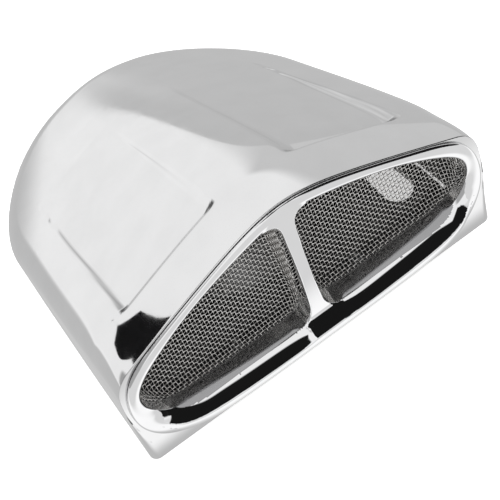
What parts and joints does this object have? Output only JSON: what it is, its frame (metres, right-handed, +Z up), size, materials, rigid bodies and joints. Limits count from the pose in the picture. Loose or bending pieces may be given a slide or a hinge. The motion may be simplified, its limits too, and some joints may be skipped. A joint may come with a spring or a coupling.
{
  "type": "twin-inlet cowl vent",
  "caption": "Chromed twin-inlet cowl vent: a hollow tent-shaped scoop with a divided mouth, woven wire screens and a flat base over a round duct opening.",
  "frame": {"origin": "centre of the duct opening, in the flat mounting plane under the base", "axes": "+Z up out of the mounting plane; the divided mouth looks along -Y and the low nose is at +Y; +X is to the right seen from behind the mouth looking along +Y"},
  "size_m": [0.231, 0.235, 0.1123],
  "materials": {
    "chrome_shell": "polished",
    "chrome_bezel": "polished",
    "seal_rubber": "satin",
    "screen_wire": "satin",
    "black_steel": "satin",
    "zinc_fixings": "satin",
    "collar_alloy": "satin"
  },
  "bodies": {
    "root": {"cowl_shell": "chrome_shell", "mouth_bezel": "chrome_bezel", "bezel_seal": "seal_rubber", "left_screen": "screen_wire", "right_screen": "screen_wire", "left_screen_frame": "black_steel", "right_screen_frame": "black_steel", "screen_frame_screws": "zinc_fixings", "left_bezel_bracket": "black_steel", "right_bezel_bracket": "black_steel", "bracket_bezel_screws": "zinc_fixings", "bracket_plate_screws": "zinc_fixings", "base_plate": "black_steel", "base_gasket": "seal_rubber", "base_plate_screws": "zinc_fixings", "base_plate_washers": "zinc_fixings", "duct_collar": "collar_alloy", "collar_screws": "zinc_fixings", "rivet_nuts": "zinc_fixings", "front_left_post": "zinc_fixings", "front_right_post": "zinc_fixings", "rear_left_post": "zinc_fixings", "rear_right_post": "zinc_fixings"}
  },
  "joints": []
}
